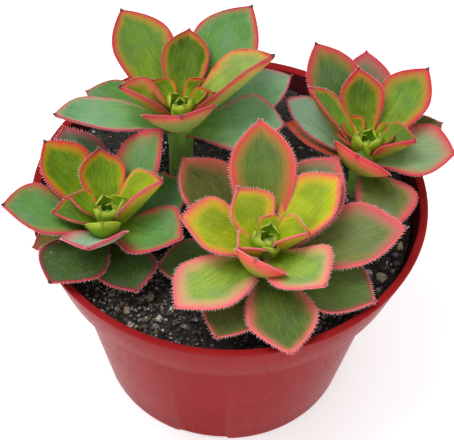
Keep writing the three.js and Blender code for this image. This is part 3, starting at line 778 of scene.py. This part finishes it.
def build_pot(material):
    """The pot: one turned wall with a collar and a rolled rim, foot notches and drain holes."""
    rim, height, wall = POT.rim_radius, POT.height, POT.wall
    foot, lip, under = POT.foot_radius, POT.lip, POT.floor_under
    ring_inside = foot - POT.foot_ring
    profile = [
        (CAP_RADIUS, under), (ring_inside, under), (ring_inside, 0), (foot, 0),
        (POT.wall_top_radius, BAND_BOTTOM), (POT.band_foot_radius, BAND_BOTTOM),
        (rim - COLLAR_TOP.inset, height - COLLAR_TOP.down), (rim - POT.rim_round, height),
        (rim - lip, height - POT.lip_fall), (inside_band(BAND_BOTTOM + wall), BAND_BOTTOM + wall),
        (POT.wall_top_radius - wall, BAND_BOTTOM), (foot - wall, FLOOR_TOP), (CAP_RADIUS, FLOOR_TOP),
    ]
    line = rounded(profile, POT_CORNERS)
    angle = angles(288)
    radius, z = line[:, :1] * np.ones_like(angle), line[:, 1:] * np.ones_like(angle)
    for i in range(NOTCH.count):
        centre = radians(NOTCH.first_azimuth + i * 360 / NOTCH.count)
        off = np.abs(wrapped(angle - centre)) * foot
        raised = np.clip(((NOTCH.width + NOTCH_RAMP) / 2 - off) / NOTCH_RAMP, 0, 1) * NOTCH.height
        near_foot = (radius > ring_inside - 0.5) & (z < NOTCH.height)
        z = np.where(near_foot, np.maximum(z, raised), z)
    pressed = np.minimum(OUT_OF_ROUND * np.sin(3 * angle + 0.7) * (z / height) * (radius > foot), 0)
    skin = round_skin((radius + pressed) * np.cos(angle), (radius + pressed) * np.sin(angle), z)
    inside = (np.arange(len(line)) > len(line) * INSIDE_FROM)[:, None] * np.ones_like(angle)
    # Painted shade and soil stain on the inside wall, left off round the side that faces the light.
    off_lit = np.degrees(wrapped(angle - radians(LIT_WALL.azimuth)))
    soiled = inside * (1 - 0.8 * np.exp(-((off_lit / LIT_WALL.spread) ** 2)))
    looks = {"inner": inside.ravel(), "soiled": soiled.ravel()}
    piece = add_piece("pot_shell", *skin, material, looks, 40)
    cut_drain_holes(piece)
    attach(piece, "root")
    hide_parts("pot")


def cut_drain_holes(piece):
    """Cuts the drain holes with one Boolean, applied."""
    heap = Heap()
    turn = angles(32)
    both = np.ones((2, 1))
    for i in range(DRAIN.count):
        azimuth = radians(DRAIN.first_azimuth + i * 360 / DRAIN.count)
        x = DRAIN.circle * cos(azimuth) + DRAIN.radius * np.cos(turn)
        y = DRAIN.circle * sin(azimuth) + DRAIN.radius * np.sin(turn)
        z = np.array(((1.0,), (FLOOR_TOP + 1,))) * np.ones_like(turn)
        heap.add(*round_skin(both * x, both * y, z), {})
    cutter = heap.piece("drain_cutter", piece.data.materials[0])
    modifier = piece.modifiers.new("drains", "BOOLEAN")
    modifier.object = cutter
    modifier.operation = "DIFFERENCE"
    modifier.solver = "EXACT"
    bpy.context.view_layer.update()
    holed = bpy.data.meshes.new_from_object(piece.evaluated_get(bpy.context.evaluated_depsgraph_get()))
    piece.modifiers.clear()
    piece.data = holed
    bpy.data.objects.remove(cutter)


# ---- Soil ----


def soil_height(x, y):
    """Height of the soil's top: the part's few crossing waves."""
    coarse = np.sin(x * 0.23 + 1.3) * np.cos(y * 0.19 - 0.4)
    fine = np.sin(x * 0.71 - y * 0.53) * np.cos(y * 0.83 + x * 0.31)
    return SOIL.top + SOIL.bump * (0.6 * coarse + 0.7 * fine)


def rough_height(x, y):
    """The soil's top with its fine roughness."""
    flat = [Vector((a, b, 0)) for a, b in zip(np.ravel(x), np.ravel(y))]
    fine = np.array([noise.fractal(p * 0.45, 0.9, 2.1, 5) for p in flat]).reshape(np.shape(x))
    return soil_height(x, y) + 0.75 * fine - 0.2


def build_soil(material):
    """The soil as a closed plug that fills the pot, with a fine rough top."""
    gap, wall = SOIL.gap, POT.wall
    top_radius = inside_band(SOIL.top) - 2 * gap
    angle, rings = angles(180), 64
    low = [
        (POT.foot_radius - wall - gap, FLOOR_TOP + gap),
        (POT.wall_top_radius - wall - gap, BAND_BOTTOM + gap),
        (inside_band(BAND_BOTTOM + wall) - gap, BAND_BOTTOM + wall + gap),
    ]
    radii = [radius for radius, _ in low] + list(top_radius * (1 - np.arange(rings) / rings))
    radius = np.array(radii)[:, None] * np.ones_like(angle)
    x, y = radius * np.cos(angle), radius * np.sin(angle)
    z = rough_height(x, y)
    for i, (_, height) in enumerate(low):
        z[i] = height
    piece = add_piece("soil_bed", *round_skin(x, y, z), material, None, 60)
    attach(piece, "root")
    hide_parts("soil")


def ball(subdivisions):
    """Points and faces of a round ball of radius 1."""
    made = bmesh.new()
    bmesh.ops.create_icosphere(made, subdivisions=subdivisions, radius=1)
    made.verts.index_update()
    points = np.array([tuple(corner.co) for corner in made.verts])
    faces = [tuple(corner.index for corner in face.verts) for face in made.faces]
    made.free()
    return points, faces


def lumps(subdivisions, number, angular, draw):
    """A few different rough lumps, each within a radius of 1."""
    points, faces = ball(subdivisions)
    made = []
    for _ in range(number):
        seed = Vector(draw.uniform(-50, 50, 3))
        swell = np.array([noise.noise(Vector(p) * 1.1 + seed) + 0.4 * noise.noise(Vector(p) * 2.9 + seed)
                          for p in points])
        lump = points * (1 + 0.5 * swell)[:, None]
        for _ in range(angular):
            facet = unit(draw.normal(size=3))
            over = np.maximum(lump @ facet - draw.uniform(0.45, 0.8), 0)
            lump = lump - over[:, None] * facet
        made.append(lump / np.abs(lump).max())
    return made, faces


def turned(draw):
    """A random turn in space."""
    matrix, _ = np.linalg.qr(draw.normal(size=(3, 3)))
    return matrix * np.sign(np.linalg.det(matrix))


# Kinds of lump in the soil: how many, smallest and largest size, height over width, facets, tints.
MIXTURE = {
    "peat": Values(
        number=3200, size=(0.8, 3.0), flat=0.8, facets=3, detail=1, sunk=0.15,
        tints=((24, 22, 26), (38, 34, 36), (50, 44, 44), (30, 30, 38), (74, 62, 52), (92, 76, 60)),
    ),
    "bark": Values(
        number=320, size=(1.4, 4.0), flat=0.45, facets=5, detail=2, sunk=0.0,
        tints=((124, 100, 82), (144, 122, 102), (100, 84, 72), (160, 142, 124)),
    ),
    "grit": Values(
        number=3400, size=(0.6, 2.4), flat=0.85, facets=4, detail=1, sunk=-0.5,
        tints=((140, 132, 118), (176, 168, 154), (112, 106, 98), (214, 208, 198), (124, 126, 104),
                  (84, 82, 86)),
    ),
    "perlite": Values(
        number=260, size=(1.0, 2.8), flat=0.85, facets=3, detail=2, sunk=-0.3,
        tints=((232, 226, 214), (212, 206, 196), (240, 236, 230)),
    ),
}
GRITTY = Values(place=(-32, -46), spread=26, weight=0.75)  # where the mixture lies thickest


def scatter(name, recipe, material, draw):
    """Lumps of one kind strewn over the soil, clear of the stems and the wall, thickest in patches."""
    shapes, faces = lumps(recipe.detail, 7, recipe.facets, draw)
    stems = [plant.crown for plant in PLANTS.values()]
    reach = inside_band(SOIL.top) - 1
    patch_seed = Vector(draw.uniform(-90, 90, 3))
    heap = Heap()
    placed = 0
    while placed < recipe.number:
        size = recipe.size[0] + (recipe.size[1] - recipe.size[0]) * draw.beta(1.2, 3.2)
        distance = (reach - size / 2) * sqrt(draw.uniform())
        azimuth = draw.uniform(0, 2 * pi)
        x, y = distance * cos(azimuth), distance * sin(azimuth)
        patchy = noise.noise(Vector((x, y, 0)) * 0.06 + patch_seed)
        off = hypot(x - GRITTY.place[0], y - GRITTY.place[1]) / GRITTY.spread
        if draw.uniform() > 0.25 + 0.7 * patchy + GRITTY.weight * exp(-off * off):
            continue
        if min(hypot(x - sx, y - sy) for sx, sy, _ in stems) < STEM.radius + size / 2 + 0.4:
            continue
        stretch = np.array((1, draw.uniform(0.6, 1), recipe.flat * draw.uniform(0.7, 1))) * size / 2
        lump = (shapes[placed % len(shapes)] @ turned(draw)) * stretch
        swing = draw.uniform(0, 2 * pi)
        c, s = cos(swing), sin(swing)
        lump = lump @ np.array(((c, s, 0), (-s, c, 0), (0, 0, 1)))
        z = rough_height(x, y) + stretch[2] * (0.5 - recipe.sunk)
        tint = np.array(recipe.tints[draw.integers(len(recipe.tints))]) * draw.uniform(0.82, 1.1)
        heap.add(lump + (x, y, z), faces, {"tint": linear(*np.clip(tint, 0, 255))})
        placed += 1
    piece = heap.piece(name, material, 50)
    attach(piece, "root")


# Pebbles that lie loose on the soil: x, y, size and tint.
PEBBLES = [
    (65, -18.4, 5.2, (208, 200, 168)), (62.8, -22.8, 3.6, (132, 124, 138)),
    (60.2, -24.4, 2.6, (92, 90, 98)), (63.4, -26.4, 3, (120, 116, 118)),
    (52.5, -31.8, 3.6, (204, 192, 190)), (55.6, -39.6, 3.4, (214, 206, 196)),
    (61.6, -30.2, 2.4, (188, 170, 150)), (-27.3, -46.5, 4.8, (150, 148, 118)),
    (-31, -47.2, 3.8, (120, 116, 104)), (-33.6, -58.6, 4.2, (190, 180, 166)),
    (-24.5, -59.8, 3.2, (150, 146, 140)), (-39.2, -51.8, 2, (220, 216, 220)),
    (-41.5, -46.2, 2.8, (170, 166, 170)), (-19, -50, 2.6, (200, 196, 188)),
    (-14.5, -58, 3, (168, 160, 146)), (6, 62, 3.4, (196, 188, 170)),
    (34, 52, 3.8, (128, 124, 118)), (-44, 40, 3.2, (206, 198, 184)),
]

STONE_TINTS = ((206, 198, 172), (150, 148, 142), (196, 176, 140), (120, 112, 100), (216, 210, 196))


def build_pebbles(material, draw):
    """The loose pebbles, each a little sunk in the soil."""
    shapes, faces = lumps(3, len(PEBBLES), 6, draw)
    heap = Heap()
    for shape, (x, y, size, tint) in zip(shapes, PEBBLES):
        stretch = np.array((1, draw.uniform(0.75, 1), 0.8)) * size / 2
        heap.add(shape * stretch + (x, y, rough_height(x, y) + 0.2 * size), faces, {"tint": linear(*tint)})
    piece = heap.piece("soil_pebbles", material, 40)
    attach(piece, "root")


def build_stones(material, draw):
    """The larger grains, each in the place of its node."""
    shapes, faces = lumps(3, GRAINS, 7, draw)
    for i in range(GRAINS):
        name = f"grain_{i + 1:02d}"
        low, high = (np.array(corner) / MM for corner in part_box(name))
        points = (low + high) / 2 + shapes[i] * (high - low) / 2
        tint = np.tile(linear(*STONE_TINTS[i % len(STONE_TINTS)]), (len(points), 1))
        piece = add_piece(f"stone_{i + 1:02d}", points, faces, material, {"tint": tint}, 40)
        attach(piece, "root")
        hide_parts(name)


# ---- Stage ----

IMAGE_WIDTH = 454  # pixels of the photograph
CAMERA = Values(distance=450, elevation=48, aim=(-0.7, 0, 79.3), about=(0, 0, 97), roll=2.05,
                focal_pixels=1175, sensor=36)


def add_camera():
    """The photograph's viewpoint: above and in front of the pot, with a slight roll."""
    elevation, roll = radians(CAMERA.elevation), radians(CAMERA.roll)
    toward = Vector((0, -cos(elevation), sin(elevation)))
    place = (Vector(CAMERA.about) + toward * CAMERA.distance) * MM
    forward = (Vector(CAMERA.aim) * MM - place).normalized()
    level = forward.cross(Vector((0, 0, 1))).normalized()
    upright = level.cross(forward)
    right = level * cos(roll) + upright * sin(roll)
    top = upright * cos(roll) - level * sin(roll)
    data = bpy.data.cameras.new("camera")
    data.sensor_width = CAMERA.sensor
    data.lens = CAMERA.focal_pixels * CAMERA.sensor / IMAGE_WIDTH
    camera = bpy.data.objects.new("camera", data)
    camera.matrix_world = Matrix((right, top, -forward)).transposed().to_4x4()
    camera.location = place
    scene.collection.objects.link(camera)
    scene.camera = camera


def add_light(name, place, aim, size, watts):
    data = bpy.data.lights.new(name, "AREA")
    data.shape = "DISK"
    data.size = size
    data.energy = watts
    light = bpy.data.objects.new(name, data)
    light.location = place
    light.rotation_euler = (Vector(aim) - Vector(place)).to_track_quat("-Z", "Y").to_euler()
    scene.collection.objects.link(light)


def add_stage():
    """A pale floor and soft studio light from above and the left."""
    graph = Graph("floor_pale")
    tone = graph.noise(graph.position(), 0.02, 2)
    colour = graph.mix(graph.smooth(tone, 0.3, 0.7), linear(222, 222, 221), linear(226, 226, 226))
    material = graph.set(Base_Color=colour, Roughness=0.8, Specular_IOR_Level=0.1,
                         Emission_Color=(1, 1, 1, 1), Emission_Strength=0.46)
    span = 2000
    corners = [(-span, -span, 0), (span, -span, 0), (span, span, 0), (-span, span, 0)]
    add_piece("floor", corners, [(0, 1, 2, 3)], material)
    world = bpy.data.worlds.new("studio")
    world.use_nodes = True
    sky = world.node_tree.nodes["Background"].inputs
    sky["Color"].default_value = (0.97, 0.985, 1.0, 1)
    sky["Strength"].default_value = 0.92
    scene.world = world
    add_light("key", (-0.38, -0.06, 1.1), (0, 0, 0.09), 0.6, 6.6)
    scene.view_settings.view_transform = "Standard"


# ---- Assembly ----

add_camera()
add_stage()
build_pot(pot_material())
build_soil(soil_material())
crumbs = crumb_material()
for index, (kind, recipe) in enumerate(MIXTURE.items()):
    scatter("soil_" + kind, recipe, crumbs, np.random.default_rng(40 + index))
build_stones(crumbs, np.random.default_rng(80))
build_pebbles(crumbs, np.random.default_rng(90))
plant_materials = {"leaf": leaf_material(), "fringe": fringe_material(), "stem": stem_material()}
for number, (name, plant) in enumerate(PLANTS.items(), 1):
    build_plant(name, plant, number, plant_materials)
